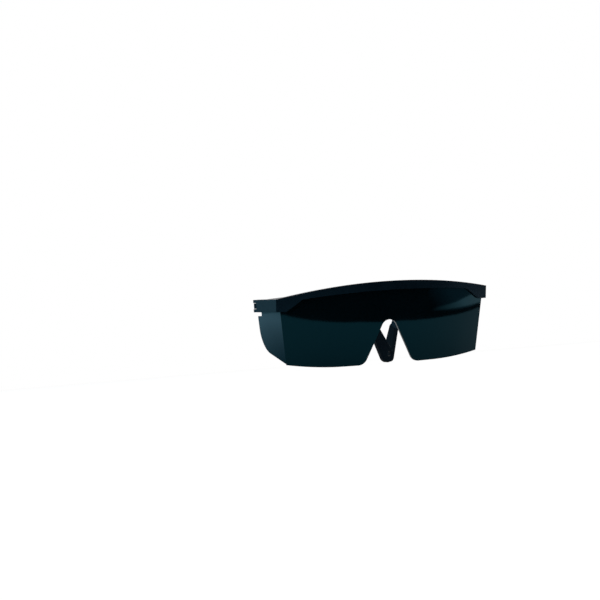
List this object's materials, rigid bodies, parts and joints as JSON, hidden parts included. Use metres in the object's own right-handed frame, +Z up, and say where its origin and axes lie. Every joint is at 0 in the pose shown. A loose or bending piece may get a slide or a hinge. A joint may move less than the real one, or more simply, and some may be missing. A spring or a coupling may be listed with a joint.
{
  "type": "welding goggles",
  "caption": "Wrap-around welding spectacles: arched brow bar, one-piece dark green lens with side shields, folding, tilting, length-adjustable temples with cord holes.",
  "frame": {"origin": "middle of the footprint, on the surface that the lens lobes and the ear tips stand on", "axes": "+Z up, +Y from the lens back to the ear tips, +X to the right as seen from in front of the lens"},
  "size_m": [0.1568, 0.1568, 0.0518],
  "materials": {
    "frame_nylon": "satin black-teal nylon",
    "lens_green": "polished, very dark green polycarbonate",
    "temple_nylon": "satin black-teal nylon",
    "tip_rubber": "soft matte",
    "pin_steel": "bright drawn wire"
  },
  "bodies": {
    "front": {"brow_bar": "frame_nylon", "lens": "lens_green", "hinge_pin_left": "pin_steel", "hinge_pin_right": "pin_steel"},
    "hinge_left": {"hinge_block_left": "frame_nylon", "tilt_pin_left": "pin_steel"},
    "temple_left": {"temple_sleeve_left": "temple_nylon"},
    "arm_left": {"temple_arm_left": "temple_nylon", "ear_tip_left": "tip_rubber"},
    "hinge_right": {"hinge_block_right": "frame_nylon", "tilt_pin_right": "pin_steel"},
    "temple_right": {"temple_sleeve_right": "temple_nylon"},
    "arm_right": {"temple_arm_right": "temple_nylon", "ear_tip_right": "tip_rubber"}
  },
  "joints": [
    {"name": "fold_left", "type": "hinge", "parent": "front", "child": "hinge_left", "pos_m": [-0.07511, -0.02566, 0.0444], "axis": [0, 0.0854, -0.9963], "range_deg": [-75.5, 15.5]},
    {"name": "tilt_left", "type": "hinge", "parent": "hinge_left", "child": "temple_left", "pos_m": [-0.06479, -0.02202, 0.04471], "axis": [-0.3338, 0.9392, 0.0805], "range_deg": [-10.6, 9.4]},
    {"name": "length_left", "type": "slide", "parent": "temple_left", "child": "arm_left", "axis": [0.9396, 0.3384, -0.0516], "range_m": [-0.008, 0.008]},
    {"name": "fold_right", "type": "hinge", "parent": "front", "child": "hinge_right", "pos_m": [0.07511, -0.02566, 0.0444], "axis": [0, -0.0854, 0.9963], "range_deg": [-23.9, 43.1]},
    {"name": "tilt_right", "type": "hinge", "parent": "hinge_right", "child": "temple_right", "pos_m": [0.07156, -0.01534, 0.04528], "axis": [-0.9461, -0.3227, -0.0277], "range_deg": [-13.9, 6.1]},
    {"name": "length_right", "type": "slide", "parent": "temple_right", "child": "arm_right", "axis": [-0.3208, 0.9454, -0.0575], "range_m": [-0.008, 0.008]}
  ]
}
